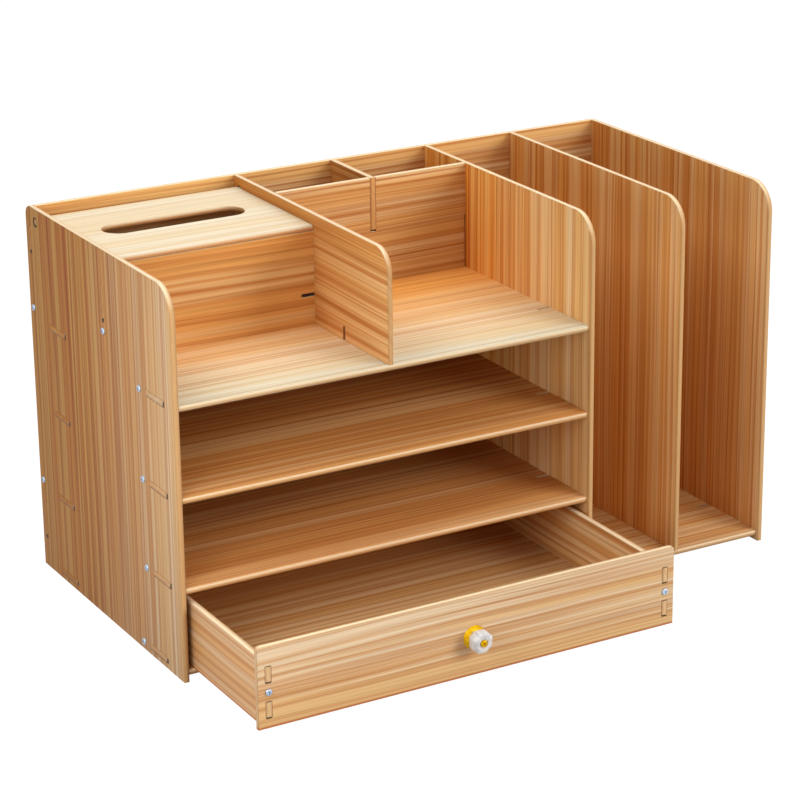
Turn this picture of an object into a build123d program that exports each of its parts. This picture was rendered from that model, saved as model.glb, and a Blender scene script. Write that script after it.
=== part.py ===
"""Desktop organiser of thin film-faced boards, put together with tabs, slots and screws.

A cabinet with a deck, two shelves and a drawer stands to the left of a file rack with two bays. On the deck
are a tissue compartment with a flip-up lid, two pen pots and two trays. Sizes are in millimetres. X runs to
the right, Y to the back and Z up. While it is being built, X starts at the left side panel's outer face,
Y at the front edges of the side panels and Z at the floor; the finished pieces are then moved to the part's
origin.
"""

import math
import os
from build123d import *

# Boards
board = 5.0
edge_rounding = 0.8
front_corner_radius = 25.0
rear_corner_radius = 9.0
divider_corner_radius = 20.0

# Overall
panel_depth = 286.0
cabinet_bay_width = 380.0
file_bay_width = 86.0
back_inset = 6.0
shelf_setback = 2.0
foot_height = 5.0

# Heights of the clear bays, from the bottom board up
drawer_bay_height = 65.0
lower_bay_height = 72.0
upper_bay_height = 72.0

# On the deck
deck_space_height = 96.0
left_tray_width = 187.0
tissue_depth = 143.0
lid_drop = 9.0
lid_side_gap = 0.6
lid_rest_gap = 0.3
lid_rear_gap = 6.0
lid_slot_width = 31.0
lid_slot_length = 130.0
lid_slot_shift = 1.5
pen_pot_depth = 67.5
pen_lap_height = 47.0
pen_lap_gap = 2.0
pen_seam = 1.0

# Pivots of the lid
ear_width = 6.0
ear_setback = 1.0
ear_short = 0.5
pivot_gap = 0.3

# Tabs and slots
tab_length = 31.0
shelf_tab_start = 18.0
bottom_tab_start = 30.0
rear_tab_margin = 30.0
tab_low_end_gap = 0.9
tab_high_end_gap = 0.1
tab_side_gap = 0.2
upright_tab_height = 30.0
end_tab_height = 28.5
end_tab_lift = 37.5
back_tab_low = 30.5
back_tab_top_margin = 18.0
back_top_tab_height = 20.0
base_tab_spread = 17.0

# Screws
screw_diameter = 3.0
screw_bite = 11.0
screw_point = 2.0
screw_tip_radius = 0.3
head_diameter = 5.6
head_height = 1.5
head_rounding = 0.9
recess_length = 3.0
recess_width = 0.8
recess_depth = 0.8
hole_gap = 0.1
slit_width = 3.3
slit_tip_gap = 1.5
screw_after_tab = 11.5
back_screw_low = 82.0
back_screw_high = 240.0
end_screw_below_tab = 11.0
divider_screw_back = 74.0

# Drawer
drawer_opening = 121.0
drawer_side_gap = 5.0
drawer_glide_gap = 0.3
drawer_side_height = 56.0
drawer_back_clearance = 9.0
drawer_front_height = 69.0
drawer_front_lift = 1.0
drawer_front_overlap = 1.5
drawer_front_corner = 3.5
drawer_tab_height = 12.5
drawer_tab_low = 10.2
drawer_tab_gap = 17.0
drawer_bottom_thickness = 3.0
drawer_bottom_lift = 3.0
groove_depth = 2.0
groove_gap = 0.1
drawer_back_inset = 8.0

# Knob
knob_drop = 1.5
ring_radius = 10.0
ring_height = 3.5
ring_waist = 7.0
crystal_flats = 18.0
crystal_back_flats = 14.0
crystal_neck = 4.2
crystal_girdle = 5.0
crystal_crown = 2.3
crystal_front_flats = 13.0
bolt_diameter = 4.0
bolt_head_radius = 3.0
bolt_head_height = 1.6
bolt_head_rounding = 0.8
bolt_sink_radius = 3.8
bolt_sink_depth = 0.8
bolt_end = 3.0
nut_flats = 7.0
nut_height = 3.2

# Places along X
cabinet_left = board
cabinet_right = cabinet_left + cabinet_bay_width
inner_right = cabinet_right + board
file_divider_left = inner_right + file_bay_width
file_divider_right = file_divider_left + board
right_panel_left = file_divider_right + file_bay_width
overall_width = right_panel_left + board
middle_left = cabinet_left + left_tray_width
middle_right = middle_left + board
pen_divider_left = (middle_right + cabinet_right - board) / 2

# Places along Y
back_rear = panel_depth - back_inset
back_front = back_rear - board
tissue_front = back_front - tissue_depth - board
pen_front = back_front - pen_pot_depth - board
lid_rear = back_front - lid_rear_gap
hinge_y = lid_rear - ear_setback - ear_width / 2
tissue_middle = (tissue_front + board + back_front) / 2
front_tab_y = shelf_setback + shelf_tab_start
bottom_tab_y = shelf_setback + bottom_tab_start
rear_tab_y = back_front - rear_tab_margin - tab_length

# Places along Z
bottom_top = foot_height + board
lower_shelf_bottom = bottom_top + drawer_bay_height
lower_shelf_top = lower_shelf_bottom + board
upper_shelf_bottom = lower_shelf_top + lower_bay_height
upper_shelf_top = upper_shelf_bottom + board
deck_bottom = upper_shelf_top + upper_bay_height
deck_top = deck_bottom + board
panel_height = deck_top + deck_space_height
lid_top = panel_height - lid_drop
lid_bottom = lid_top - board
hinge_z = lid_bottom + board / 2
end_tab_bottom = deck_top + end_tab_lift
end_screw_z = end_tab_bottom - end_screw_below_tab
pen_lap_bottom = panel_height - pen_lap_height

# The drawer, as it stands open
front_face = -board - drawer_opening
drawer_face_rear = front_face + board
drawer_left = cabinet_left + drawer_side_gap
drawer_right = cabinet_right - drawer_side_gap
drawer_bottom_z = bottom_top + drawer_glide_gap
drawer_length = back_front - drawer_back_clearance
drawer_rear = drawer_face_rear + drawer_length
drawer_back_front = drawer_rear - drawer_back_inset - board
front_bottom = foot_height + board + drawer_front_lift
front_top = front_bottom + drawer_front_height
knob_x = (cabinet_left + cabinet_right) / 2
knob_z = (front_bottom + front_top) / 2 - knob_drop
knob_depth = ring_height + crystal_neck + crystal_girdle + crystal_crown
knob_front = front_face - knob_depth - bolt_head_height + bolt_sink_depth

# The part's origin: under the middle of everything that the open part covers
origin = (overall_width / 2, (knob_front + panel_depth) / 2, 0)

X, Y, Z = range(3)
pieces = {}
groups = {}


def block(xs, ys, zs):
    """A plain board between two places on each axis."""
    size = (xs[1] - xs[0], ys[1] - ys[0], zs[1] - zs[0])
    return Pos(xs[0], ys[0], zs[0]) * Box(*size, align=(Align.MIN, Align.MIN, Align.MIN))


def edge_at(solid, axis, place):
    """The straight edge along an axis that lies nearest to a point."""
    return solid.edges().filter_by(axis).sort_by_distance(place)[0]


def upright(xs, ys, zs, front_radius, rear_radius=0):
    """A board that stands across X, with its upper corners rounded and its edges eased."""
    solid = block(xs, ys, zs)
    solid = fillet(edge_at(solid, Axis.X, (xs[0], ys[0], zs[1])), front_radius)
    if rear_radius:
        solid = fillet(edge_at(solid, Axis.X, (xs[0], ys[1], zs[1])), rear_radius)
    outline = [e for face in solid.faces().filter_by(Axis.X) for e in face.edges()]
    return fillet(outline, edge_rounding)


def front_eased(xs, ys, zs):
    """A lying board whose front edge is eased above and below."""
    solid = block(xs, ys, zs)
    edges = [edge_at(solid, Axis.X, (xs[0], ys[0], z)) for z in zs]
    return fillet(edges, edge_rounding)


def top_eased(xs, ys, zs):
    """A standing board across Y whose top edge is eased at the front and the back."""
    solid = block(xs, ys, zs)
    edges = [edge_at(solid, Axis.X, (xs[0], y, zs[1])) for y in ys]
    return fillet(edges, edge_rounding)


def tab(owner, slotted, box, through, flat):
    """Grows a tab on one board and cuts its slot in the other.

    through is the axis along which the tab passes the slotted board, flat the axis of its own thickness. The
    slot's play is at the tab's front or lower end, where the tab was pushed away from.
    """
    low_gaps = [tab_low_end_gap] * 3
    high_gaps = [tab_high_end_gap] * 3
    for gaps in (low_gaps, high_gaps):
        gaps[through] = board / 4
        gaps[flat] = tab_side_gap
    slot = [(lo - low, hi + high) for (lo, hi), low, high in zip(box, low_gaps, high_gaps)]
    pieces[owner] = pieces[owner] + block(*box)
    pieces[slotted] = pieces[slotted] - block(*slot)


def make_screw():
    """A cross-recess pan-head screw: head above the origin, shank below, along Z."""
    shank_length = board + screw_bite
    head = Cylinder(head_diameter / 2, head_height, align=(Align.CENTER, Align.CENTER, Align.MIN))
    head = fillet(head.edges().group_by(Axis.Z)[-1], head_rounding)
    for turn in (0, 90):
        arm = Box(recess_length, recess_width, recess_depth, align=(Align.CENTER, Align.CENTER, Align.MAX))
        head -= Pos(0, 0, head_height) * Rot(0, 0, turn) * arm
    straight = shank_length - screw_point
    shank = Cylinder(screw_diameter / 2, straight, align=(Align.CENTER, Align.CENTER, Align.MAX))
    point = Cone(screw_tip_radius, screw_diameter / 2, screw_point,
                 align=(Align.CENTER, Align.CENTER, Align.MAX))
    return head + shank + Pos(0, 0, -straight) * point


def screw(group, panel, held, place, outward, flat):
    """Puts a screw through a panel into an open slit in the end of the board that it holds.

    place is the middle of the head's seat, outward the axis and sign that the head points to, and flat the
    axis of the held board's thickness.
    """
    axis, sign = outward
    direction = [0, 0, 0]
    direction[axis] = sign
    seat = Plane(origin=place, z_dir=direction).location
    hole = Cylinder(screw_diameter / 2 + hole_gap, 2 * board + board, align=(Align.CENTER,) * 3)
    pieces[panel] = pieces[panel] - seat * hole
    near = place[axis] - sign * board
    far = near - sign * (screw_bite + slit_tip_gap)
    box = [None, None, None]
    for k in (X, Y, Z):
        half = board if k == flat else slit_width / 2
        box[k] = (place[k] - half, place[k] + half)
    box[axis] = (min(near, far), max(near, far))
    pieces[held] = pieces[held] - block(*box)
    groups.setdefault(group, []).append(seat * one_screw)


one_screw = make_screw()

# Upright panels
pieces["left_side_panel"] = upright(
    (0, board), (0, panel_depth), (0, panel_height), front_corner_radius, rear_corner_radius)
pieces["right_side_panel"] = upright(
    (right_panel_left, overall_width), (0, panel_depth), (0, panel_height), front_corner_radius,
    rear_corner_radius)
pieces["inner_side_panel"] = upright(
    (cabinet_right, inner_right), (0, back_front), (0, panel_height), front_corner_radius)
pieces["file_divider"] = upright(
    (file_divider_left, file_divider_right), (0, back_front), (bottom_top, panel_height),
    front_corner_radius)
pieces["middle_divider"] = upright(
    (middle_left, middle_right), (shelf_setback, back_front), (deck_top, panel_height),
    divider_corner_radius)

# Back panel and lying boards
pieces["back_panel"] = top_eased(
    (cabinet_left, right_panel_left), (back_front, back_rear), (foot_height, panel_height))
levels = {
    "bottom_board": (foot_height, bottom_top),
    "lower_shelf": (lower_shelf_bottom, lower_shelf_top),
    "upper_shelf": (upper_shelf_bottom, upper_shelf_top),
    "deck_board": (deck_bottom, deck_top),
}
for name, level in levels.items():
    pieces[name] = front_eased((cabinet_left, cabinet_right), (shelf_setback, back_front), level)
pieces["file_base_board"] = front_eased(
    (inner_right, right_panel_left), (shelf_setback, back_front), levels["bottom_board"])

# Tabs and screws at both ends of the cabinet's lying boards
for name, level in levels.items():
    start = bottom_tab_y if name == "bottom_board" else front_tab_y
    middle = (level[0] + level[1]) / 2
    screw_y = start + tab_length + screw_after_tab
    for y in (start, rear_tab_y):
        tab(name, "left_side_panel", ((0, cabinet_left), (y, y + tab_length), level), X, Z)
        tab(name, "inner_side_panel", ((cabinet_right, inner_right), (y, y + tab_length), level), X, Z)
    screw("left_panel_screws", "left_side_panel", name, (0, screw_y, middle), (X, -1), Z)
    if name != "bottom_board":
        screw("inner_panel_screws", "inner_side_panel", name, (inner_right, screw_y, middle), (X, 1), Z)

# The file rack's base: clear of the bottom board's tabs where both meet the inner panel
base_level = levels["bottom_board"]
base_middle = (base_level[0] + base_level[1]) / 2
depth_middle = (shelf_setback + back_front) / 2
for y in (bottom_tab_y, rear_tab_y):
    tab("file_base_board", "right_side_panel",
        ((right_panel_left, overall_width), (y, y + tab_length), base_level), X, Z)
for y in (depth_middle - base_tab_spread - tab_length, depth_middle + base_tab_spread):
    tab("file_base_board", "inner_side_panel",
        ((cabinet_right, inner_right), (y, y + tab_length), base_level), X, Z)
screw("right_panel_screws", "right_side_panel", "file_base_board",
      (overall_width, bottom_tab_y + tab_length + screw_after_tab, base_middle), (X, 1), Z)

# Back panel between the outer side panels
back_middle = (back_front + back_rear) / 2
back_ys = (back_front, back_rear)
back_tab_top = panel_height - back_tab_top_margin
low_tab_zs = (back_tab_low, back_tab_low + upright_tab_height)
top_tab_zs = (back_tab_top - back_top_tab_height, back_tab_top)
for zs in (low_tab_zs, top_tab_zs):
    tab("back_panel", "left_side_panel", ((0, cabinet_left), back_ys, zs), X, Y)
    tab("back_panel", "right_side_panel", ((right_panel_left, overall_width), back_ys, zs), X, Y)
for z in (back_screw_low, back_screw_high):
    screw("left_panel_screws", "left_side_panel", "back_panel", (0, back_middle, z), (X, -1), Y)
    place = (overall_width, back_middle, z)
    screw("right_panel_screws", "right_side_panel", "back_panel", place, (X, 1), Y)

# Inner boards into the back panel
standing = {
    "inner_side_panel": (cabinet_right, inner_right),
    "file_divider": (file_divider_left, file_divider_right),
}
shelf_middle = (lower_shelf_top + upper_shelf_bottom) / 2
deck_space_middle = (deck_top + panel_height) / 2
for name, xs in standing.items():
    for z in (shelf_middle, deck_space_middle):
        zs = (z - upright_tab_height / 2, z + upright_tab_height / 2)
        tab(name, "back_panel", (xs, back_ys, zs), Y, X)
for y in (front_tab_y, rear_tab_y):
    place = (standing["file_divider"], (y, y + tab_length), base_level)
    tab("file_divider", "file_base_board", place, Z, X)
for name in ("lower_shelf", "upper_shelf", "deck_board"):
    for x in (cabinet_left + cabinet_bay_width / 3, cabinet_right - cabinet_bay_width / 3):
        xs = (x - tab_length / 2, x + tab_length / 2)
        tab(name, "back_panel", (xs, back_ys, levels[name]), Y, Z)

# Middle divider on the deck
middle_xs = (middle_left, middle_right)
middle_x = (middle_left + middle_right) / 2
deck_level = levels["deck_board"]
divider_zs = (deck_space_middle - upright_tab_height / 2, deck_space_middle + upright_tab_height / 2)
tab("middle_divider", "back_panel", (middle_xs, back_ys, divider_zs), Y, X)
for y in (front_tab_y, rear_tab_y):
    tab("middle_divider", "deck_board", (middle_xs, (y, y + tab_length), deck_level), Z, X)
screw("deck_screw", "deck_board", "middle_divider",
      (middle_x, shelf_setback + divider_screw_back, deck_bottom), (Z, -1), X)

# Tissue compartment: the front board between the left side panel and the middle divider
tissue_ys = (tissue_front, tissue_front + board)
tissue_y = tissue_front + board / 2
end_tab_zs = (end_tab_bottom, end_tab_bottom + end_tab_height)
tissue_zs = (deck_top, lid_bottom - lid_rest_gap)
pieces["tissue_front_board"] = block((cabinet_left, middle_left), tissue_ys, tissue_zs)
tab("tissue_front_board", "left_side_panel", ((0, cabinet_left), tissue_ys, end_tab_zs), X, Y)
tab("tissue_front_board", "middle_divider", (middle_xs, tissue_ys, end_tab_zs), X, Y)
place = (0, tissue_y, end_screw_z)
screw("left_panel_screws", "left_side_panel", "tissue_front_board", place, (X, -1), Y)
place = (middle_right, tissue_y, end_screw_z)
screw("divider_screw", "middle_divider", "tissue_front_board", place, (X, 1), Y)

# Pen pots: a front board across the middle tray, and a divider lapped into it
pen_ys = (pen_front, pen_front + board)
pen_board = top_eased((middle_right, cabinet_right), pen_ys, (deck_top, panel_height))
seam = block((cabinet_right - pen_seam, cabinet_right), pen_ys, (deck_top, pen_lap_bottom))
pieces["pen_pot_front_board"] = pen_board - seam
tab("pen_pot_front_board", "middle_divider", (middle_xs, pen_ys, end_tab_zs), X, Y)
tab("pen_pot_front_board", "inner_side_panel", ((cabinet_right, inner_right), pen_ys, end_tab_zs), X, Y)
pen_divider_xs = (pen_divider_left, pen_divider_left + board)
pen_divider = block(pen_divider_xs, (pen_front + board, back_front), (deck_top, panel_height))
tongue = block(pen_divider_xs, pen_ys, (pen_lap_bottom, panel_height))
notch = block(
    (pen_divider_xs[0] - tab_side_gap, pen_divider_xs[1] + tab_side_gap),
    (pen_ys[0] - board, pen_ys[1] + board),
    (pen_lap_bottom - pen_lap_gap, panel_height + board))
pieces["pen_pot_divider"] = pen_divider + tongue
pieces["pen_pot_front_board"] = pieces["pen_pot_front_board"] - notch
tab("pen_pot_divider", "back_panel", (pen_divider_xs, back_ys, divider_zs), Y, X)

# Tissue lid: a board with an oval opening, hinged on two ears near its rear corners
lid_left = cabinet_left + lid_side_gap
lid_right = middle_left - lid_side_gap
lid_middle = (lid_left + lid_right) / 2
lid_board = block((lid_left, lid_right), (tissue_front, lid_rear), (lid_bottom, lid_top))
lid_edges = [edge_at(lid_board, Axis.X, (lid_left, tissue_front, z)) for z in (lid_bottom, lid_top)]
lid_board = fillet(lid_edges, edge_rounding)
oval_x = lid_middle + lid_slot_shift
oval = SlotOverall(lid_slot_length, lid_slot_width)
oval_cutter = Pos(oval_x, tissue_middle, lid_bottom - board) * extrude(oval, 3 * board)
lid_board = lid_board - oval_cutter
oval_rim = [
    e for face in lid_board.faces().filter_by(Axis.Z) for wire in face.inner_wires() for e in wire.edges()]
lid_board = fillet(oval_rim, edge_rounding)
ear_ys = (hinge_y - ear_width / 2, hinge_y + ear_width / 2)
for xs in ((ear_short, lid_left), (lid_right, middle_right - ear_short)):
    lid_board = lid_board + block(xs, ear_ys, (lid_bottom, lid_top))
pieces["tissue_lid"] = lid_board
pivot_radius = math.hypot(ear_width, board) / 2 + pivot_gap
for name, x in (("left_side_panel", board / 2), ("middle_divider", middle_x)):
    pivot_hole = Pos(x, hinge_y, hinge_z) * Rot(0, 90, 0) * Cylinder(pivot_radius, 2 * board)
    pieces[name] = pieces[name] - pivot_hole

# Drawer: front, two sides, back and a thin bottom in grooves
side_zs = (drawer_bottom_z, drawer_bottom_z + drawer_side_height)
side_xs = {
    "drawer_left_side": (drawer_left, drawer_left + board),
    "drawer_right_side": (drawer_right - board, drawer_right),
}
front_xs = (cabinet_left - drawer_front_overlap, cabinet_right + drawer_front_overlap)
drawer_front = block(front_xs, (front_face, drawer_face_rear), (front_bottom, front_top))
top_corners = [edge_at(drawer_front, Axis.Y, (x, front_face, front_top)) for x in front_xs]
drawer_front = fillet(top_corners, drawer_front_corner)
front_outline = [e for face in drawer_front.faces().filter_by(Axis.Y) for e in face.edges()]
pieces["drawer_front"] = fillet(front_outline, edge_rounding)
pieces["drawer_back"] = block(
    (drawer_left + board, drawer_right - board), (drawer_back_front, drawer_back_front + board), side_zs)
tab_lows = (drawer_tab_low, drawer_tab_low + drawer_tab_height + drawer_tab_gap)
drawer_screw_z = drawer_bottom_z + drawer_tab_low + drawer_tab_height + drawer_tab_gap / 2
drawer_back_y = drawer_back_front + board / 2
for name, xs in side_xs.items():
    pieces[name] = block(xs, (drawer_face_rear, drawer_rear), side_zs)
    for low in tab_lows:
        tab_zs = (drawer_bottom_z + low, drawer_bottom_z + low + drawer_tab_height)
        tab(name, "drawer_front", (xs, (front_face, drawer_face_rear), tab_zs), Y, X)
        tab("drawer_back", name, (xs, (drawer_back_front, drawer_back_front + board), tab_zs), X, Y)
    screw("drawer_front_screws", "drawer_front", name, (sum(xs) / 2, front_face, drawer_screw_z), (Y, -1), X)
for name, x, sign in (("drawer_left_side", drawer_left, -1), ("drawer_right_side", drawer_right, 1)):
    screw("drawer_back_screws", name, "drawer_back", (x, drawer_back_y, drawer_screw_z), (X, sign), Y)
groove_z = drawer_bottom_z + drawer_bottom_lift
bottom_zs = (groove_z, groove_z + drawer_bottom_thickness)
bottom_xs = (drawer_left + board - groove_depth, drawer_right - board + groove_depth)
bottom_ys = (drawer_face_rear - groove_depth, drawer_back_front + groove_depth)
groove = block(*[(lo - groove_gap, hi + groove_gap) for lo, hi in (bottom_xs, bottom_ys, bottom_zs)])
for name in ("drawer_front", "drawer_left_side", "drawer_right_side", "drawer_back"):
    pieces[name] = pieces[name] - groove
pieces["drawer_bottom"] = block(bottom_xs, bottom_ys, bottom_zs)

# Knob, along Z first and then turned to point to the front
knob_place = Plane(origin=(knob_x, front_face, knob_z), x_dir=(1, 0, 0), z_dir=(0, -1, 0)).location


def eight_sides(flats):
    """An octagon by its width across flats, with a flat on top."""
    return RegularPolygon(flats / 2, 8, major_radius=False, rotation=22.5)


ring_foot = Circle(ring_radius)
ring_top = Pos(0, 0, ring_height) * Circle(ring_waist)
ring = loft([ring_foot, ring_top])
ring = fillet(ring.edges().group_by(Axis.Z)[-1], edge_rounding)
neck_base = ring_height
girdle_base = neck_base + crystal_neck
crown_base = girdle_base + crystal_girdle
crystal = loft([Pos(0, 0, neck_base) * eight_sides(crystal_back_flats),
                Pos(0, 0, girdle_base) * eight_sides(crystal_flats)], ruled=True)
crystal += Pos(0, 0, girdle_base) * extrude(eight_sides(crystal_flats), crystal_girdle)
crystal += loft([Pos(0, 0, crown_base) * eight_sides(crystal_flats),
                 Pos(0, 0, knob_depth) * eight_sides(crystal_front_flats)], ruled=True)
crystal -= Pos(0, 0, knob_depth - bolt_sink_depth) * extrude(Circle(bolt_sink_radius), board)
bolt_room = Pos(0, 0, -2 * board) * extrude(Circle(bolt_diameter / 2 + hole_gap), knob_depth + 4 * board)
head_seat = knob_depth - bolt_sink_depth
bolt_head = Pos(0, 0, head_seat) * extrude(Circle(bolt_head_radius), bolt_head_height)
bolt_head = fillet(bolt_head.edges().group_by(Axis.Z)[-1], bolt_head_rounding)
for turn in (0, 90):
    arm = Box(recess_length, recess_width, recess_depth, align=(Align.CENTER, Align.CENTER, Align.MAX))
    bolt_head -= Pos(0, 0, head_seat + bolt_head_height) * Rot(0, 0, turn) * arm
bolt_tail = board + nut_height + bolt_end
bolt_shank = Pos(0, 0, -bolt_tail) * extrude(Circle(bolt_diameter / 2), bolt_tail + head_seat)
six_sides = RegularPolygon(nut_flats / 2, 6, major_radius=False)
nut = Pos(0, 0, -board - nut_height) * extrude(six_sides, nut_height)
pieces["knob_base_ring"] = knob_place * (ring - bolt_room)
pieces["knob_crystal"] = knob_place * (crystal - bolt_room)
pieces["knob_bolt"] = knob_place * (bolt_head + bolt_shank)
pieces["knob_nut"] = knob_place * (nut - bolt_room)
pieces["drawer_front"] = pieces["drawer_front"] - knob_place * bolt_room

for name, screws in groups.items():
    pieces[name] = Compound(screws)

os.makedirs("parts", exist_ok=True)
for name, solid in pieces.items():
    placed = Pos(-origin[X], -origin[Y], -origin[Z]) * solid
    export_step(placed, f"parts/{name}.step")
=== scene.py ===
"""Looks of a desktop organiser made of slotted boards, with a drawer, a tissue compartment and a file rack.

Metres, in the part's own frame: +X to the right, +Y to the back, +Z up, the floor at Z = 0.
"""

import math
import bpy
import numpy as np
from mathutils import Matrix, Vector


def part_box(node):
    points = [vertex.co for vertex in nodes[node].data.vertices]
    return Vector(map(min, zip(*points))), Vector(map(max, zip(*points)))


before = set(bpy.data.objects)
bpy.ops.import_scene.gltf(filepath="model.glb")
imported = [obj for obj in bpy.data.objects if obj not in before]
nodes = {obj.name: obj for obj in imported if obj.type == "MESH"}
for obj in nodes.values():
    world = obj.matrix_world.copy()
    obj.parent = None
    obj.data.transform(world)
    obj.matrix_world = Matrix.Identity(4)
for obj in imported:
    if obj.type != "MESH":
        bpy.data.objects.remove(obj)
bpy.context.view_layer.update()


# Boards
# The real boards are 5 mm fibreboard with a printed wood-grain film on both faces, cut hot to shape with tabs
# and slots that fit into each other. The film is satin, with straight tan and orange-brown streaks and a soft
# sheen; the cut edges are eased and plain, with a painted cream highlight where they turn up, and thin brown
# lines and near-black slots of painted shade mark the narrow gaps round the tabs.

# Each board's grain direction, the direction of its own thickness, a number that moves its streaks, its mean
# tone in front of FRONT_Y and behind REAR_Y, and how strongly its streaks differ from that tone there. These
# tones are partly the boards' own and partly painted light: paler at the front and warmer and deeper at the rear
# for the light that falls off towards the rear and the warm light bounced between the boards, and paler and
# calmer on the lying boards for a painted sheen
FRONT_Y = -0.07
REAR_Y = 0.10
BOARDS = {
    "left_side_panel": ("Z", "X", 1, "#BA9770", "#A76C2A", 0.85, 1.4),
    "inner_side_panel": ("Z", "X", 2, "#D6AF7C", "#E19C4C", 0.9, 1.1),
    "right_side_panel": ("Z", "X", 3, "#D6A268", "#CB8E4E", 0.9, 1.1),
    "file_divider": ("Z", "X", 4, "#D6A268", "#CB8E4E", 0.9, 1.1),
    "back_panel": ("X", "Y", 5, "#D8A86E", "#D8A86E", 1.0, 1.0),
    "bottom_board": ("X", "Z", 6, "#CFA06A", "#BE8448", 0.9, 1.0),
    "lower_shelf": ("X", "Z", 7, "#DC9E60", "#BE8448", 0.9, 1.0),
    "upper_shelf": ("X", "Z", 8, "#DC9E60", "#BE8448", 0.9, 1.0),
    "deck_board": ("X", "Z", 9, "#C5B99B", "#E2A054", 0.5, 0.7),
    "file_base_board": ("X", "Z", 10, "#CFA06A", "#BE8448", 0.9, 1.0),
    "middle_divider": ("Y", "X", 11, "#CF985C", "#C0803F", 0.9, 0.9),
    "tissue_front_board": ("X", "Y", 12, "#D69A5A", "#D69A5A", 0.95, 0.95),
    "tissue_lid": ("X", "Z", 13, "#D0BD9C", "#D0BD9C", 0.4, 0.4),
    "pen_pot_front_board": ("X", "Y", 14, "#CD9C64", "#CD9C64", 1.0, 1.0),
    "pen_pot_divider": ("Y", "X", 15, "#C28A52", "#BE8448", 1.0, 1.0),
    "drawer_front": ("X", "Y", 16, "#D1A97C", "#D1A97C", 0.9, 0.9),
    "drawer_left_side": ("Y", "X", 17, "#C09163", "#C09163", 0.75, 0.75),
    "drawer_right_side": ("Y", "X", 18, "#CFA06A", "#BE8448", 0.9, 1.0),
    "drawer_back": ("X", "Y", 19, "#CFA06A", "#CFA06A", 1.0, 1.0),
    "drawer_bottom": ("X", "Z", 20, "#CFA06A", "#BE8448", 0.9, 1.0),
}


def linear(colour):
    """An sRGB hex colour as linear RGBA."""
    values = [int(colour[k:k + 2], 16) / 255 for k in (1, 3, 5)]
    return [v / 12.92 if v <= 0.04045 else ((v + 0.055) / 1.055) ** 2.4 for v in values] + [1.0]


def add_node(tree, kind, inputs=None, stops=None, **settings):
    """Adds one node: settings are its properties, inputs its sockets' values or the sockets linked to them, and
    stops a colour ramp's places and colours."""
    node = tree.nodes.new(kind)
    for name, value in settings.items():
        setattr(node, name, value)
    for name, value in (inputs or {}).items():
        if isinstance(value, bpy.types.NodeSocket):
            tree.links.new(value, node.inputs[name])
        else:
            node.inputs[name].default_value = value
    if stops:
        ramp = node.color_ramp.elements
        while len(ramp) < len(stops):
            ramp.new(0.5)
        for element, (place, colour) in zip(ramp, stops):
            element.position = place
            element.color = linear(colour)
    return node


def new_material(name):
    """A material with an empty node tree."""
    material = bpy.data.materials.new(name)
    material.use_nodes = True
    material.node_tree.nodes.clear()
    return material, material.node_tree


def set_finish(name, material):
    """Gives a CAD node one material."""
    nodes[name].data.materials.clear()
    nodes[name].data.materials.append(material)


def corners_of(name):
    """A node's lowest and highest corners."""
    low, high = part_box(name)
    return np.array(low), np.array(high)


# The print's bands, the streaks in them, thin lines and fibres: width across the grain and length along it, in
# millimetres, and detail. Real fibres are about 0.3 mm wide and too fine to show, so these are three times that
BANDS = (18.0, 1500.0, 1.0)
STREAKS = (4.0, 700.0, 1.5)
LINES = (3.6, 900.0, 0.5)
FIBRES = (0.9, 110.0, 1.0)

# How far all of them wander sideways, and the width and length of what wanders together
WANDER_MM = 5.0
WANDER_WIDTH_MM = 60.0
WANDER_LENGTH_MM = 230.0

# How far apart two boards lie in the noise, and what a depth in the board counts for across the grain
BOARD_STEP = 7.31
EDGE_STRETCH = 1.6


def grain_noises(tree, parts, along, across, through, number):
    """Noises of bands, streaks, lines and fibres: the place across the grain and along it, each over its width or
    length, after a slow noise has moved it sideways. Depth counts as distance across the grain too, so an edge's
    own lines go on from the face's."""
    width = add_node(tree, "ShaderNodeMath",
                     {0: parts.outputs[through], 1: EDGE_STRETCH, 2: parts.outputs[across]},
                     operation="MULTIPLY_ADD")
    flat = add_node(tree, "ShaderNodeCombineXYZ",
                    {"X": width.outputs[0], "Y": parts.outputs[along], "Z": number * BOARD_STEP})
    slow = add_node(tree, "ShaderNodeVectorMath",
                    {0: flat.outputs[0], 1: (1000 / WANDER_WIDTH_MM, 1000 / WANDER_LENGTH_MM, 1)},
                    operation="MULTIPLY")
    wander = add_node(tree, "ShaderNodeTexNoise", {"Vector": slow.outputs[0], "Scale": 1.0, "Detail": 1.0})
    shift = add_node(tree, "ShaderNodeMath",
                     {0: wander.outputs[0], 1: WANDER_MM / 1000, 2: width.outputs[0]},
                     operation="MULTIPLY_ADD")
    bent = add_node(tree, "ShaderNodeCombineXYZ",
                    {"X": shift.outputs[0], "Y": parts.outputs[along], "Z": number * BOARD_STEP})
    noises = []
    for width_mm, length_mm, detail in (BANDS, STREAKS, LINES, FIBRES):
        scaled = add_node(tree, "ShaderNodeVectorMath",
                          {0: bent.outputs[0], 1: (1000 / width_mm, 1000 / length_mm, 1)},
                          operation="MULTIPLY")
        noise = add_node(tree, "ShaderNodeTexNoise",
                         {"Vector": scaled.outputs[0], "Scale": 1.0, "Detail": detail})
        noises.append(noise.outputs[0])
    return noises


# The print's base, golden, orange-brown and brown, as shares of a board's mean tone in red, green and blue
PRINT = np.array([(1.12, 1.36, 1.75), (1.06, 1.06, 0.92), (0.86, 0.68, 0.48), (0.70, 0.46, 0.28)])

# Between which values of its noise, which runs from 0 to 1, a tone sets in, and how strong it gets
GOLDEN_RANGE = (0.42, 0.58)
STREAK_RANGE = (0.44, 0.62)
STREAK_STRENGTH = 0.80
FIBRE_RANGE = (0.25, 0.75)
FIBRE_CONTRAST = 0.11

# A line's half width in its noise, its strength, and the streaks in which it fades to its faintest
LINE_HALF_WIDTH = 0.07
LINE_STRENGTH = 0.85
LINE_FADE_RANGE = (0.35, 0.6)
FAINTEST_LINE = 0.25


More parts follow.
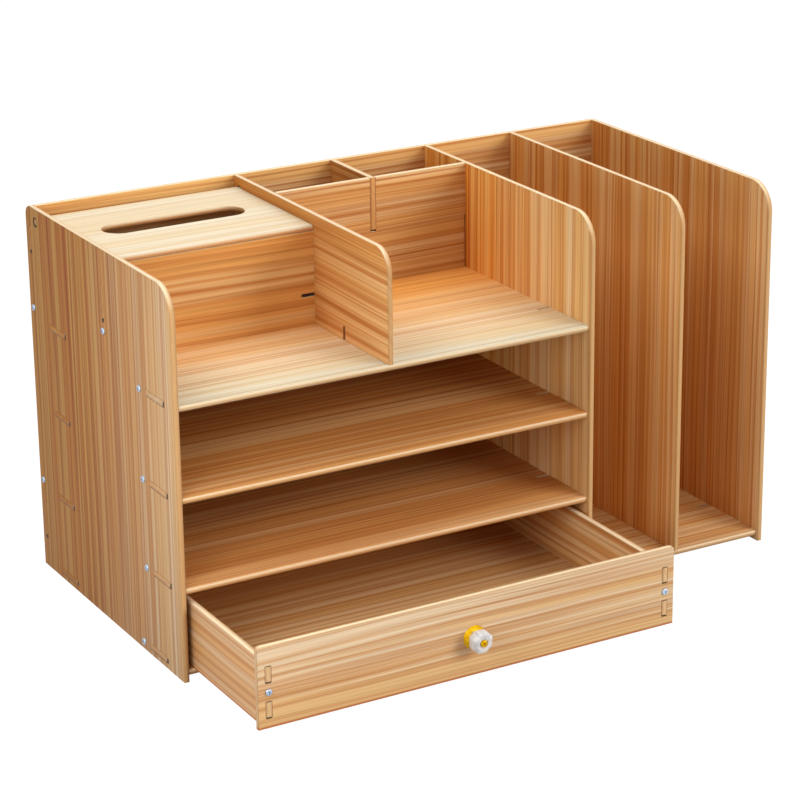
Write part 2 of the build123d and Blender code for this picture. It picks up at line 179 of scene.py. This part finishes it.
def print_colour(tree, noises, tones):
    """The print's colour: golden bands, orange-brown streaks over them, then brown lines that fade in and out
    where the line noise crosses one half, and all of it a little lighter or darker from fibre to fibre."""
    bands, streaks, lines, fibres = noises
    base, band, streak, line = tones
    golden = add_node(tree, "ShaderNodeMapRange",
                      {"Value": bands, "From Min": GOLDEN_RANGE[0], "From Max": GOLDEN_RANGE[1]},
                      interpolation_type="SMOOTHSTEP")
    colour = add_node(tree, "ShaderNodeMix", {0: golden.outputs[0], 6: base, 7: band}, data_type="RGBA")
    darker = add_node(tree, "ShaderNodeMapRange",
                      {"Value": streaks, "From Min": STREAK_RANGE[0], "From Max": STREAK_RANGE[1],
                       "To Max": STREAK_STRENGTH}, interpolation_type="SMOOTHSTEP")
    colour = add_node(tree, "ShaderNodeMix", {0: darker.outputs[0], 6: colour.outputs[2], 7: streak},
                      data_type="RGBA")
    middle = add_node(tree, "ShaderNodeMath", {0: lines, 1: 0.5}, operation="SUBTRACT")
    away = add_node(tree, "ShaderNodeMath", {0: middle.outputs[0]}, operation="ABSOLUTE")
    ridge = add_node(tree, "ShaderNodeMapRange",
                     {"Value": away.outputs[0], "From Min": 0.0, "From Max": LINE_HALF_WIDTH,
                      "To Min": LINE_STRENGTH, "To Max": 0.0}, interpolation_type="SMOOTHSTEP")
    strength = add_node(tree, "ShaderNodeMapRange",
                        {"Value": streaks, "From Min": LINE_FADE_RANGE[0], "From Max": LINE_FADE_RANGE[1],
                         "To Min": FAINTEST_LINE, "To Max": 1.0})
    ridge = add_node(tree, "ShaderNodeMath", {0: ridge.outputs[0], 1: strength.outputs[0]},
                     operation="MULTIPLY")
    colour = add_node(tree, "ShaderNodeMix", {0: ridge.outputs[0], 6: colour.outputs[2], 7: line},
                      data_type="RGBA")
    fine = add_node(tree, "ShaderNodeMapRange",
                    {"Value": fibres, "From Min": FIBRE_RANGE[0], "From Max": FIBRE_RANGE[1],
                     "To Min": 1 - FIBRE_CONTRAST, "To Max": 1 + FIBRE_CONTRAST})
    return add_node(tree, "ShaderNodeVectorMath", {0: colour.outputs[2], "Scale": fine.outputs[0]},
                    operation="SCALE").outputs[0]


# The cut edges' tan, and the cream of the painted highlight on those that are turned up
EDGE_TONE = "#BE9260"
OWN_EDGE_TONE = {"tissue_lid": "#CC8440", "pen_pot_divider": "#D09C62", "drawer_left_side": "#D6AE7E",
                 "drawer_right_side": "#D6AE7E"}
TOP_EDGE_HIGHLIGHT = "#EAD6B2"

# The share of the painted cream highlight below the first place and above the second, as distances from the
# middle of the thickness
HIGHLIGHT_PLACES = (-0.0005, 0.0015)
LYING_HIGHLIGHT = (0.0, 0.8)
UPRIGHT_HIGHLIGHT = (1.0, 0.4)

# Between which parts of its normal along a direction a surface comes to face that way
TURNED_RANGE = (0.3, 0.9)


def edge_colour(tree, name, grain, thickness, facing, depth, rear):
    """A cut edge's colour: tan, with a painted cream highlight on the upper half of a lying board's edge and on
    top of an upright board, most on its left half, or its front half for a board that faces the front. The ends
    of tabs take the tone of the left panel, in whose face they lie."""
    lying = thickness == "Z"
    low_share, high_share = LYING_HIGHLIGHT if lying else UPRIGHT_HIGHLIGHT
    # Painted highlight: cream on the lit half of the edge's thickness
    highlight = add_node(tree, "ShaderNodeMapRange",
                     {"Value": depth, "From Min": HIGHLIGHT_PLACES[0], "From Max": HIGHLIGHT_PLACES[1],
                      "To Min": low_share, "To Max": high_share})
    if not lying:
        # On an upright board only the top edge gets the painted highlight
        upward = add_node(tree, "ShaderNodeMapRange",
                          {"Value": facing.outputs["Z"], "From Min": TURNED_RANGE[0],
                           "From Max": TURNED_RANGE[1]})
        highlight = add_node(tree, "ShaderNodeMath", {0: highlight.outputs[0], 1: upward.outputs[0]},
                         operation="MULTIPLY")
    colour = add_node(tree, "ShaderNodeMix",
                      {0: highlight.outputs[0], 6: linear(OWN_EDGE_TONE.get(name, EDGE_TONE)),
                       7: linear(TOP_EDGE_HIGHLIGHT)}, data_type="RGBA")
    if grain == "X":
        panel_front, panel_rear = BOARDS["left_side_panel"][3:5]
        tab_tone = add_node(tree, "ShaderNodeMix",
                            {0: rear, 6: linear(panel_front), 7: linear(panel_rear)}, data_type="RGBA")
        sideways = add_node(tree, "ShaderNodeMath", {0: facing.outputs["X"]}, operation="ABSOLUTE")
        colour = add_node(tree, "ShaderNodeMix",
                          {0: sideways.outputs[0], 6: colour.outputs[2], 7: tab_tone.outputs[2]},
                          data_type="RGBA")
    return colour.outputs[2]


# How near to a panel's face a tab's end lies, and how wide it is at least
FLUSH = 0.00003
SMALLEST_TAB = 0.004


def tab_ends(panel, axis):
    """The ends of other boards' tabs that lie flush with either face of a panel, as rows of their lowest and
    highest corners. An end is two triangles with the same box, of which one is kept."""
    low, high = corners_of(panel)
    found = []
    for other in BOARDS:
        other_low, other_high = corners_of(other)
        for plane, tip in ((low[axis], other_low[axis]), (high[axis], other_high[axis])):
            if other == panel or abs(plane - tip) > FLUSH:
                continue
            mesh = nodes[other].data
            places = np.array([v.co for v in mesh.vertices])
            mesh.calc_loop_triangles()
            corners = places[np.array([t.vertices for t in mesh.loop_triangles])]
            flat = np.abs(corners[:, :, axis] - plane).max(1) < FLUSH
            box = np.concatenate([corners.min(1), corners.max(1)], 1)[flat]
            size = np.sort(box[:, 3:] - box[:, :3], 1)
            inside = (box[:, :3] > low - FLUSH).all(1) & (box[:, 3:] < high + FLUSH).all(1)
            found.append(box[inside & (size[:, 1] > SMALLEST_TAB)])
    return np.unique(np.round(np.concatenate(found), 5), axis=0) if found else []


# Painted shade of the narrow gaps round the tabs: brown lines beside the tabs, and near-black slots past the
# tabs' lower and higher ends
GAP_LINE_SHADE = "#8A4E22"
SLOT_SHADE = "#2E1409"
MARK_STRENGTH = 0.9
MARK_HALF_DEPTH = 0.004
CUT_BLUR = 0.0002
SIDE_LINE_MM = 0.4
USUAL_LOW_SLOT_MM = 1.0
LOW_SLOT_MM = {"left_side_panel": 3.8, "drawer_front": 1.5}
HIGH_SLOT_MM = {"drawer_front": 1.0}

# The holes that the lid's ears turn in, from the lid's rear edge, and the open slit for the deck's screw
PIVOT_PANELS = ("left_side_panel", "middle_divider")
PIVOT_BACK = 0.004
PIVOT_RADIUS = 0.0043
SLIT_HALF_WIDTH = 0.0019
SLIT_SPARE = 0.001


def distance_outside(tree, place, through, low, high):
    """How far a point lies outside a box that goes through the board, below 0 inside it: the largest of its
    distances from the box's middle along the axes, each less half of the box's size."""
    middle, half = (low + high) / 2, (high - low) / 2
    half[through] = MARK_HALF_DEPTH
    away = add_node(tree, "ShaderNodeVectorMath", {0: place, 1: middle}, operation="SUBTRACT")
    away = add_node(tree, "ShaderNodeVectorMath", {0: away.outputs[0]}, operation="ABSOLUTE")
    away = add_node(tree, "ShaderNodeVectorMath", {0: away.outputs[0], 1: half}, operation="SUBTRACT")
    away = add_node(tree, "ShaderNodeSeparateXYZ", {"Vector": away.outputs[0]})
    most = add_node(tree, "ShaderNodeMath", {0: away.outputs[0], 1: away.outputs[1]}, operation="MAXIMUM")
    return add_node(tree, "ShaderNodeMath", {0: most.outputs[0], 1: away.outputs[2]},
                    operation="MAXIMUM").outputs[0]


def add_painted_gap_shade(tree, name, place, through, colour):
    """A board's colour with painted shade of the gaps round its tabs on it: a line or slot is wherever the
    nearest of its boxes is less than the blur away."""
    distances = {GAP_LINE_SHADE: [], SLOT_SHADE: []}
    for rectangle in tab_ends(name, through):
        low, high = rectangle[:3], rectangle[3:]
        lengthwise = np.eye(3)[np.argmax((high - low) * (np.arange(3) != through))]
        beside = np.full(3, SIDE_LINE_MM / 1000)
        before = lengthwise * LOW_SLOT_MM.get(name, USUAL_LOW_SLOT_MM) / 1000 - CUT_BLUR
        after = lengthwise * HIGH_SLOT_MM.get(name, 0.0) / 1000 - CUT_BLUR
        distances[GAP_LINE_SHADE].append(distance_outside(tree, place, through, low - beside, high + beside))
        distances[SLOT_SHADE].append(distance_outside(tree, place, through, low - before, high + after))

    # The play round the lid's ears is a dark ring of painted shade
    if name in PIVOT_PANELS:
        lid_low, lid_high = corners_of("tissue_lid")
        pivot = (0, lid_high[1] - PIVOT_BACK, (lid_low[2] + lid_high[2]) / 2)
        away = add_node(tree, "ShaderNodeVectorMath", {0: place, 1: pivot}, operation="SUBTRACT")
        away = add_node(tree, "ShaderNodeVectorMath", {0: away.outputs[0], 1: (0, 1, 1)},
                        operation="MULTIPLY")
        away = add_node(tree, "ShaderNodeVectorMath", {0: away.outputs[0]}, operation="LENGTH")
        away = add_node(tree, "ShaderNodeMath", {0: away.outputs["Value"], 1: PIVOT_RADIUS},
                        operation="SUBTRACT")
        distances[SLOT_SHADE].append(away.outputs[0])

    # The open slit for the deck's screw has painted brown shade on its walls
    if name == "middle_divider":
        low, high = corners_of("deck_screw")
        axis_y = (low[1] + high[1]) / 2
        low[1], high[1] = axis_y - SLIT_HALF_WIDTH, axis_y + SLIT_HALF_WIDTH
        high[2] += SLIT_SPARE
        distances[GAP_LINE_SHADE].append(distance_outside(tree, place, through, low, high))

    for tone, found in distances.items():
        if not found:
            continue
        nearest = found[0]
        for distance in found[1:]:
            nearest = add_node(tree, "ShaderNodeMath", {0: nearest, 1: distance},
                               operation="MINIMUM").outputs[0]
        mark = add_node(tree, "ShaderNodeMapRange",
                        {"Value": nearest, "From Min": -CUT_BLUR / 2, "From Max": CUT_BLUR,
                         "To Min": MARK_STRENGTH, "To Max": 0.0})
        colour = add_node(tree, "ShaderNodeMix", {0: mark.outputs[0], 6: colour, 7: linear(tone)},
                          data_type="RGBA").outputs[2]
    return colour


# A cut edge's share of its own colour over the print's, and the radius that its easing looks like
EDGE_PLAINNESS = 0.8
EDGE_ROUNDING = 0.0028

# Painted shade: a darker band along the lower edges of the drawer's front and left side, where their eased
# edges turn down away from the light
FOOT_SHADE_TONE = "#AC5A20"
SHADED_FOOT_MM = {"drawer_front": 2.1, "drawer_left_side": 1.5}
FOOT_SHADE_BLUR = 0.0006
FOOT_SHADE_STRENGTH = 0.85

# The satin film: a polymer's IOR with little shine, its roughness from streak to streak, and the fibres' relief
FILM_IOR = 1.45
FILM_SHINE = 0.2
FILM_ROUGHNESS = (0.46, 0.56)
FIBRE_RELIEF = 0.0002
FIBRE_RELIEF_STRENGTH = 0.15


def film_material(name, grain, thickness, number, fronts, rears):
    """Printed wood-grain film on fibreboard, which looks satin and warm: the print on the faces, in tones that
    drift from the front to the rear as painted light, plainer eased edges with a painted highlight, and painted
    shade in the gaps round the tabs and along the drawer's lower edges."""
    material, tree = new_material(f"wood_grain_film_{name}")
    along, through = "XYZ".index(grain), "XYZ".index(thickness)
    across = 3 - along - through
    coordinates = add_node(tree, "ShaderNodeTexCoord")
    place = coordinates.outputs["Object"]
    parts = add_node(tree, "ShaderNodeSeparateXYZ", {"Vector": place})
    noises = grain_noises(tree, parts, along, across, through, number)
    streaks, fibres = noises[1], noises[3]
    # Painted light: the tones drift from the paler front to the warmer rear
    rear = add_node(tree, "ShaderNodeMapRange",
                    {"Value": parts.outputs["Y"], "From Min": FRONT_Y, "From Max": REAR_Y}).outputs[0]
    tones = [add_node(tree, "ShaderNodeMix", {0: rear, 6: front_tone, 7: rear_tone},
                      data_type="RGBA").outputs[2] for front_tone, rear_tone in zip(fronts, rears)]
    face = print_colour(tree, noises, tones)

    # Faces show the print, and cut edges mostly their own colour
    facing = add_node(tree, "ShaderNodeSeparateXYZ", {"Vector": coordinates.outputs["Normal"]})
    low, high = corners_of(name)
    depth = add_node(tree, "ShaderNodeMath",
                     {0: parts.outputs[through], 1: (low[through] + high[through]) / 2},
                     operation="SUBTRACT").outputs[0]
    bare = edge_colour(tree, name, grain, thickness, facing, depth, rear)
    edge = add_node(tree, "ShaderNodeMix", {0: EDGE_PLAINNESS, 6: face, 7: bare}, data_type="RGBA")
    flatness = add_node(tree, "ShaderNodeMath", {0: facing.outputs[through]}, operation="ABSOLUTE")
    on_face = add_node(tree, "ShaderNodeMapRange",
                       {"Value": flatness.outputs[0], "From Min": TURNED_RANGE[0],
                        "From Max": TURNED_RANGE[1]}, interpolation_type="SMOOTHSTEP")
    colour = add_node(tree, "ShaderNodeMix", {0: on_face.outputs[0], 6: edge.outputs[2], 7: face},
                      data_type="RGBA").outputs[2]
    # Painted shade of the gaps round the tabs, the ears and the slit
    colour = add_painted_gap_shade(tree, name, place, through, colour)
    # Painted shade along the drawer's lower edges
    if name in SHADED_FOOT_MM:
        foot = low[2] + SHADED_FOOT_MM[name] / 1000
        foot_shade = add_node(tree, "ShaderNodeMapRange",
                         {"Value": parts.outputs["Z"], "From Min": foot - FOOT_SHADE_BLUR,
                          "From Max": foot + FOOT_SHADE_BLUR, "To Min": FOOT_SHADE_STRENGTH, "To Max": 0.0})
        colour = add_node(tree, "ShaderNodeMix",
                          {0: foot_shade.outputs[0], 6: colour, 7: linear(FOOT_SHADE_TONE)},
                          data_type="RGBA").outputs[2]

    # The eased edges turn a little towards both faces: a parabola over the board's thickness, in metres
    square = add_node(tree, "ShaderNodeMath", {0: depth, 1: depth}, operation="MULTIPLY")
    drop = add_node(tree, "ShaderNodeMath", {0: square.outputs[0], 1: -0.5 / EDGE_ROUNDING},
                    operation="MULTIPLY")
    eased = add_node(tree, "ShaderNodeBump", {"Height": drop.outputs[0], "Strength": 1.0, "Distance": 1.0})
    relief = add_node(tree, "ShaderNodeBump",
                      {"Height": fibres, "Strength": FIBRE_RELIEF_STRENGTH, "Distance": FIBRE_RELIEF,
                       "Normal": eased.outputs[0]})
    gloss = add_node(tree, "ShaderNodeMapRange",
                     {"Value": streaks, "To Min": FILM_ROUGHNESS[0], "To Max": FILM_ROUGHNESS[1]})
    shader = add_node(tree, "ShaderNodeBsdfPrincipled",
                      {"Base Color": colour, "Roughness": gloss.outputs[0], "IOR": FILM_IOR,
                       "Specular IOR Level": FILM_SHINE, "Normal": relief.outputs[0]})
    add_node(tree, "ShaderNodeOutputMaterial", {"Surface": shader.outputs[0]})
    return material


for name, (grain, thickness, number, front, rear, calm, strong) in BOARDS.items():
    fronts, rears = ([(*np.clip(tone, 0, 1), 1.0) for tone in (1 + contrast * (PRINT - 1)) * linear(mean)[:3]]
                     for mean, contrast in ((front, calm), (rear, strong)))
    set_finish(name, film_material(name, grain, thickness, number, fronts, rears))


# Screws
# Cross-recess pan-head screws of zinc-plated steel, 3 mm, driven through a board into an open slit in the end of
# the next. The plated heads look bright and a little blue, with a faint mottle; the threads are painted dark and
# dull as the shade of the slits they lie in.

# Each group's axis, and the board and face that its heads sit on, 0 for the lower face and 1 for the higher. The
# last group comes from both sides, so it has no one face and is bright all over, with no painted shade on its
# threads
SCREWS = {
    "left_panel_screws": ("X", "left_side_panel", 0),
    "inner_panel_screws": ("X", "inner_side_panel", 1),
    "right_panel_screws": ("X", "right_side_panel", 1),
    "deck_screw": ("Z", "deck_board", 0),
    "divider_screw": ("X", "middle_divider", 1),
    "drawer_front_screws": ("Y", "drawer_front", 0),
    "drawer_back_screws": ("X", None, 0),
}

# Where a mottle's noise leaves its first tone and reaches its second
MOTTLE_RANGE = (0.35, 0.65)

# The crystals of zinc plating are too fine to show, so its mottle is drawn with spots of about 1 mm
PLATING_MOTTLE_MM = 10 / 9
PLATING_TONES = ("#98A6B8", "#BCC8D8")
PLATING_ROUGHNESS = (0.40, 0.55)
# The threads' painted shade: near-black and dull where they lie in the slits
THREAD_SHADE_TONE = "#2A130A"
THREAD_ROUGHNESS = 0.8


def mottled(tree, place, size_mm, tones, roughness):
    """The colour and roughness of a faint mottle: noise of this size, between two tones and two roughnesses."""
    mottle = add_node(tree, "ShaderNodeTexNoise", {"Vector": place, "Scale": 1000 / size_mm, "Detail": 2.0})
    tint = add_node(tree, "ShaderNodeValToRGB", {"Fac": mottle.outputs[0]},
                    stops=list(zip(MOTTLE_RANGE, tones)))
    rough = add_node(tree, "ShaderNodeMapRange",
                     {"Value": mottle.outputs[0], "To Min": roughness[0], "To Max": roughness[1]})
    return tint.outputs[0], rough.outputs[0]


def plated_steel(name, axis=None, seat=0.0, side=0):
    """Zinc plating. With an axis, the steel past the seat plane is thread, painted dark and dull as the shade in
    its
    slit: above it for side 0, below for 1.
    """
    material, tree = new_material(f"zinc_plated_steel_{name}")
    place = add_node(tree, "ShaderNodeTexCoord").outputs["Object"]
    colour, roughness = mottled(tree, place, PLATING_MOTTLE_MM, PLATING_TONES, PLATING_ROUGHNESS)
    metal = 1.0
    if axis:
        parts = add_node(tree, "ShaderNodeSeparateXYZ", {"Vector": place})
        # Painted shade: the thread past the seat is near-black and not metal
        thread = add_node(tree, "ShaderNodeMath", {0: parts.outputs[axis], 1: seat},
                          operation="LESS_THAN" if side else "GREATER_THAN").outputs[0]
        colour = add_node(tree, "ShaderNodeMix", {0: thread, 6: colour, 7: linear(THREAD_SHADE_TONE)},
                          data_type="RGBA").outputs[2]
        roughness = add_node(tree, "ShaderNodeMix", {0: thread, 2: roughness, 3: THREAD_ROUGHNESS}).outputs[0]
        metal = add_node(tree, "ShaderNodeMath", {0: 1.0, 1: thread}, operation="SUBTRACT").outputs[0]
    shader = add_node(tree, "ShaderNodeBsdfPrincipled",
                      {"Base Color": colour, "Metallic": metal, "Roughness": roughness})
    add_node(tree, "ShaderNodeOutputMaterial", {"Surface": shader.outputs[0]})
    return material


for name, (axis, board, side) in SCREWS.items():
    if board:
        set_finish(name, plated_steel(name, axis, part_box(board)[side]["XYZ".index(axis)], side))
    else:
        set_finish(name, plated_steel(name))


# Knob
# A faceted knob of moulded acrylic on a gold-plated brass ring, held by a gold-plated bolt whose head sits in its
# front. The gold looks warm and soft, and the acrylic clear but milky. The nut in the drawer is plain zinc.

# The grit of gold plating is too fine to show, so its mottle is drawn with spots of 2.5 mm
GOLD_MOTTLE_MM = 2.5
GOLD_TONES = ("#BA8C08", "#CEA51E")
GOLD_ROUGHNESS = (0.48, 0.60)

gold, tree = new_material("gold_plated_brass")
place = add_node(tree, "ShaderNodeTexCoord").outputs["Object"]
tint, roughness = mottled(tree, place, GOLD_MOTTLE_MM, GOLD_TONES, GOLD_ROUGHNESS)
shader = add_node(tree, "ShaderNodeBsdfPrincipled",
                  {"Base Color": tint, "Metallic": 1.0, "Roughness": roughness})
add_node(tree, "ShaderNodeOutputMaterial", {"Surface": shader.outputs[0]})

# The milkiness inside the acrylic is a faint cloud, and its moulded faces are polished
CLOUD_MM = 4.0
CLOUD_TONES = ("#EBE6E3", "#FAF7F4")
ACRYLIC_ROUGHNESS = (0.03, 0.10)
ACRYLIC_IOR = 1.49
ACRYLIC_CLEARNESS = 0.4

acrylic, tree = new_material("milky_clear_acrylic")
place = add_node(tree, "ShaderNodeTexCoord").outputs["Object"]
tint, roughness = mottled(tree, place, CLOUD_MM, CLOUD_TONES, ACRYLIC_ROUGHNESS)
shader = add_node(tree, "ShaderNodeBsdfPrincipled",
                  {"Base Color": tint, "Roughness": roughness, "IOR": ACRYLIC_IOR,
                   "Transmission Weight": ACRYLIC_CLEARNESS})
add_node(tree, "ShaderNodeOutputMaterial", {"Surface": shader.outputs[0]})

set_finish("knob_base_ring", gold)
set_finish("knob_bolt", gold)
set_finish("knob_crystal", acrylic)
set_finish("knob_nut", plated_steel("nut"))


# Floor and light
# A plain white table that runs on into a white background. A large softbox to the front right gives most of the
# light, three above fill the tops and the rear, and two small ones near the left panel light it evenly.

FLOOR_HALF = 12.0
FLOOR_PAINT = "#B4B4B4"
SEEN_FLOOR_PAINT = "#FAFAFA"
FLOOR_GLOW = 1.09
FLOOR_GLOW_SHARE = 0.9


def background_rays(tree):
    """1 for rays that see the white background, and 0 for the light that falls on the object. The first are
    those from the camera, those that go on through the knob and those that shiny surfaces throw back."""
    path = add_node(tree, "ShaderNodeLightPath")
    seen = add_node(tree, "ShaderNodeMath",
                    {0: path.outputs["Is Camera Ray"], 1: path.outputs["Is Transmission Ray"]},
                    operation="MAXIMUM")
    return add_node(tree, "ShaderNodeMath", {0: seen.outputs[0], 1: path.outputs["Is Glossy Ray"]},
                    operation="MAXIMUM").outputs[0]


floor_mesh = bpy.data.meshes.new("floor")
floor_mesh.from_pydata([(-FLOOR_HALF, -FLOOR_HALF, 0), (FLOOR_HALF, -FLOOR_HALF, 0),
                        (FLOOR_HALF, FLOOR_HALF, 0), (-FLOOR_HALF, FLOOR_HALF, 0)], [], [(0, 1, 2, 3)])
floor = bpy.data.objects.new("floor", floor_mesh)
bpy.context.scene.collection.objects.link(floor)
white, tree = new_material("white_table")
seen = background_rays(tree)
paint = add_node(tree, "ShaderNodeMix", {0: seen, 6: linear(FLOOR_PAINT), 7: linear(SEEN_FLOOR_PAINT)},
                 data_type="RGBA")
share = add_node(tree, "ShaderNodeMath", {0: seen, 1: FLOOR_GLOW_SHARE}, operation="MULTIPLY")
matte = add_node(tree, "ShaderNodeBsdfDiffuse", {"Color": paint.outputs[2]})
plain = add_node(tree, "ShaderNodeEmission", {"Color": linear("#FFFFFF"), "Strength": FLOOR_GLOW})
surface = add_node(tree, "ShaderNodeMixShader",
                   {0: share.outputs[0], 1: matte.outputs[0], 2: plain.outputs[0]})
add_node(tree, "ShaderNodeOutputMaterial", {"Surface": surface.outputs[0]})
floor_mesh.materials.append(white)

# What the world gives the object in light, where its background is 1
WORLD_LIGHT = 0.15

world = bpy.data.worlds.new("studio")
bpy.context.scene.world = world
world.use_nodes = True
tree = world.node_tree
tree.nodes.clear()
level = add_node(tree, "ShaderNodeMapRange",
                 {"Value": background_rays(tree), "To Min": WORLD_LIGHT, "To Max": 1.0})
sky = add_node(tree, "ShaderNodeBackground", {"Color": linear("#FFFFFF"), "Strength": level.outputs[0]})
add_node(tree, "ShaderNodeOutputWorld", {"Surface": sky.outputs[0]})

# Each softbox's place, the point that it faces, its side in metres and its power in watts
SOFTBOXES = {
    "top_back": ((0.60, 1.05, 1.45), (0, 0, 0.25), 1.3, 11),
    "top": ((0.1, -0.3, 2.0), (0, 0, 0.2), 1.5, 16),
    "left_top": ((-0.9, 0.2, 1.6), (0.1, 0.0, 0.15), 0.8, 10.6),
    "front": ((1.4, -2.1, 1.1), (0, -0.1, 0.15), 1.4, 57),
    "left_near": ((-0.64, -0.38, 0.36), (-0.286, 0.0, 0.15), 0.3, 1.45),
    "left_low": ((-0.60, -0.20, 0.25), (-0.286, -0.02, 0.15), 0.3, 0.6),
}

for name, (place, aim, size, power) in SOFTBOXES.items():
    light = bpy.data.lights.new(name, "AREA")
    light.size = size
    light.energy = power
    lamp = bpy.data.objects.new(name, light)
    bpy.context.scene.collection.objects.link(lamp)
    lamp.visible_camera = False
    lamp.location = place
    right, back, up = np.array(place) - np.array(aim)
    lamp.rotation_euler = (math.atan2(math.hypot(right, back), up), 0, math.atan2(right, -back))


# Camera
# The photograph's viewpoint, solved from the boards' corners: about 2.3 m away, to the front left and above. The
# small shift is the photograph's own framing.

CAMERA_PLACE = (-1.10947, -1.88700, 0.95225)
CAMERA_TURN_DEGREES = (71.0668, 0.6537, -29.6867)
FOCAL_PIXELS = 2733.13
IMAGE_PIXELS = 800
SENSOR_MM = 36.0
PRINCIPAL_ROW = 360

camera_data = bpy.data.cameras.new("camera")
camera_data.sensor_width = SENSOR_MM
camera_data.lens = FOCAL_PIXELS / IMAGE_PIXELS * SENSOR_MM
camera_data.shift_y = (PRINCIPAL_ROW - IMAGE_PIXELS / 2) / IMAGE_PIXELS
camera = bpy.data.objects.new("camera", camera_data)
camera.location = CAMERA_PLACE
camera.rotation_euler = [math.radians(turn) for turn in CAMERA_TURN_DEGREES]
bpy.context.scene.collection.objects.link(camera)
bpy.context.scene.camera = camera

bpy.context.scene.view_settings.view_transform = "Standard"
